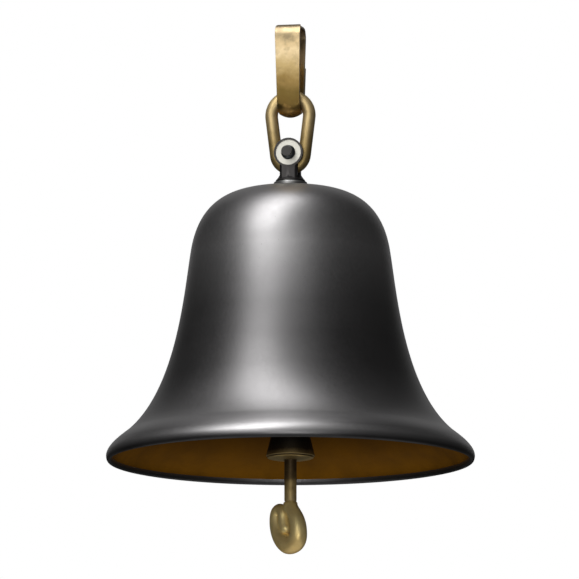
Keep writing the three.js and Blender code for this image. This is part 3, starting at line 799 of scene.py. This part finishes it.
def pull_hook():
    place = Matrix.Rotation(HOOK_YAW, 4, "Z") @ on_axis()
    line = hook_line()
    radii = hook_radii(line)
    body = wire("hook_body", line, [r - 0.02 for r in radii], False, 40, place)
    tip_u, tip_h = line[-1]
    dome = arc(0, 0, radii[-1] - 0.03, -math.pi / 2, math.pi / 2, 24)
    ball = turned("hook_tip", dome, 40, place @ Matrix.Translation((tip_u, 0, tip_h)))
    top = ROD_END_H - 0.3
    stem = [(1.7, top - 3.2), (1.7, top), (HOOK_STEM_R - 0.3, top), (HOOK_STEM_R, top - 0.4),
            (HOOK_STEM_R, top - 3), (2.2, top - 4.2), (0, top - 4.4), (0, top - 3.2)]
    collar = turned("hook_stem", stem, 48, place)
    piece = joined("hook_curled", body, ball, collar)
    return dress(piece, "clapper", "aged_brass", HOOK_FINISH, "pull_hook")


# ---- Carried-over CAD pieces ----------------------------------------------


def finish_node(name, finish, bevel):
    piece = frame["nodes"][name]
    piece.data.materials.clear()
    piece.data.materials.append(finish)
    join = piece.modifiers.new("join", "WELD")
    join.merge_threshold = 1e-6
    if bevel:
        round_edges(piece, bevel, 2, 50)
    soften(piece.data, 30)


def carried_over():
    for name in ("strap_rivet_lower", "strap_rivet_upper"):
        finish_node(name, STRAP_FINISH, 0.0)
    for name in ("pin_washer", "crown_washer", "inner_washer", "spring_washer", "crown_nut"):
        finish_node(name, ZINC_FINISH, 0.1)
    finish_node("pin_split_pin", ZINC_FINISH, 0.0)
    finish_node("pin_bush", DISC_FINISH, 0.1)
    finish_node("weight_lock_nut", ROD_FINISH, 0.1)


# ---- Stage, lights and camera ---------------------------------------------


def floor():
    """A pale floor that glows a little for the eye and stays dim in reflections."""
    corners = [(-1, -1), (1, -1), (1, 1), (-1, 1)]
    verts = [(x * FLOOR_HALF, y * FLOOR_HALF, FLOOR_Z) for x, y in corners]
    piece = make("floor", verts, [[0, 1, 2, 3]])
    f = Finish("pale_floor", metallic=0.0)
    f.colour(f.ramp(f.noise(60), (0.3, 0.80), (0.7, 0.84)))
    f.shader.inputs["Roughness"].default_value = 0.8
    f.shader.inputs["Emission Color"].default_value = (1, 1, 1, 1)
    shown = f.nodes.new("ShaderNodeLightPath").outputs["Is Camera Ray"]
    f.link(f.maths("MULTIPLY", shown, 0.72), f.shader.inputs["Emission Strength"])
    f.material.cycles.emission_sampling = "NONE"
    piece.data.materials.append(f.material)


def direction(azimuth, elevation):
    """Unit vector from the bell, for angles in degrees; azimuth 0 is the front."""
    a, e = math.radians(azimuth), math.radians(elevation)
    return Vector((math.sin(a) * math.cos(e), -math.cos(a) * math.cos(e), math.sin(e)))


def softbox(name, azimuth, elevation, distance, width, height, power):
    """An area light on a sphere round the bell, in metres and watts."""
    away = direction(azimuth, elevation)
    light = bpy.data.lights.new(name, "AREA")
    light.shape = "RECTANGLE"
    light.size = width
    light.size_y = height
    light.energy = power
    lamp = bpy.data.objects.new(name, light)
    lamp.visible_camera = False
    lamp.location = Vector((0, 0, LIGHT_AIM_Z)) + away * distance
    lamp.rotation_mode = "QUATERNION"
    lamp.rotation_quaternion = away.to_track_quat("Z", "Y")
    bpy.context.scene.collection.objects.link(lamp)


def world():
    """A white surround for the eye and a dim one for reflections."""
    w = bpy.data.worlds.new("studio")
    w.use_nodes = True
    nodes, links = w.node_tree.nodes, w.node_tree.links
    shown = nodes.new("ShaderNodeLightPath").outputs["Is Camera Ray"]
    level = nodes.new("ShaderNodeMapRange")
    level.inputs["To Min"].default_value = 0.035
    level.inputs["To Max"].default_value = 1.0
    links.new(shown, level.inputs["Value"])
    background = nodes["Background"]
    background.inputs["Color"].default_value = (1, 1, 1, 1)
    links.new(level.outputs["Result"], background.inputs["Strength"])
    bpy.context.scene.world = w


def lights():
    softbox("key", -25.5, 62, 1.25, 0.55, 1.4, 17)
    softbox("key_low", -14, 12, 1.4, 0.8, 0.5, 2.3)
    softbox("wide", 2, 30, 2.4, 2.6, 2.2, 6)
    softbox("under", 11, -13, 1.6, 0.5, 0.3, 4)
    softbox("back", 190, 28, 2.4, 2.6, 2.2, 5)
    softbox("bounce", 0, -88, 1.0, 1.8, 1.8, 4)


CAMERA_AZIMUTH = 11.0
CAMERA_ELEVATION = -8.87
CAMERA_LENS = 500.0
VIEW_WIDTH_MM = 236.2
TARGET_X = -0.4
TARGET_H = 70.95


def camera():
    data = bpy.data.cameras.new("camera")
    data.lens = CAMERA_LENS
    data.sensor_width = 36.0
    shot = bpy.data.objects.new("camera", data)
    away = direction(CAMERA_AZIMUTH, CAMERA_ELEVATION)
    distance = VIEW_WIDTH_MM * MM * CAMERA_LENS / data.sensor_width
    shot.location = Vector((TARGET_X * MM, 0, up(TARGET_H))) + away * distance
    shot.rotation_mode = "QUATERNION"
    shot.rotation_quaternion = away.to_track_quat("Z", "Y")
    data.clip_start, data.clip_end = 0.05, 50
    bpy.context.scene.collection.objects.link(shot)
    bpy.context.scene.camera = shot


# ---- The scene ------------------------------------------------------------

bell_shell()
hanger_strap()
suspension_link()
crown_clevis()
crown_stud()
clevis_pin()
clapper_eye_nut()
clapper_link()
clapper_rod()
clapper_weight()
weight_disc()
pull_hook()
carried_over()

floor()
world()
lights()
camera()
bpy.context.scene.view_settings.view_transform = "Standard"
